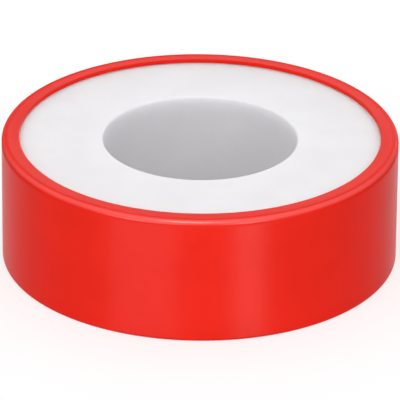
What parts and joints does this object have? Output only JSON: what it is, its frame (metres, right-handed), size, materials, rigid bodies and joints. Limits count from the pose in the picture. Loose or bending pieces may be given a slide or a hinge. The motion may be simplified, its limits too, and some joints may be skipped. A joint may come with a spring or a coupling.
{
  "type": "roll of thread seal tape",
  "caption": "Flat round roll of white thread seal tape on a flanged spool with an open bore, closed by a smooth red cover ring that lifts off.",
  "frame": {"origin": "centre of the plane that the roll lies on", "axes": "+Z along the roll's axis, out of its front face; X and Y across the roll"},
  "size_m": [0.05, 0.05, 0.0165],
  "materials": {
    "cover_plastic": "smooth moulded red plastic with a satin gloss",
    "spool_plastic": "smooth moulded white plastic, nearly matte",
    "tape_film": "soft white film with a waxy sheen and fine lengthwise streaks"
  },
  "bodies": {
    "spool": {"spool": "spool_plastic", "tape": "tape_film"},
    "rear_flange": {"rear_flange": "spool_plastic"},
    "cover": {"cover_ring": "cover_plastic"}
  },
  "joints": [
    {"name": "cover_turn", "type": "hinge", "parent": "spool", "child": "rear_flange", "pos_m": [0, 0, 0.00135], "axis": [0, 0, 1], "continuous": true},
    {"name": "cover_lift", "type": "slide", "parent": "rear_flange", "child": "cover", "axis": [0, 0, 1], "range_m": [0, 0.03]}
  ]
}
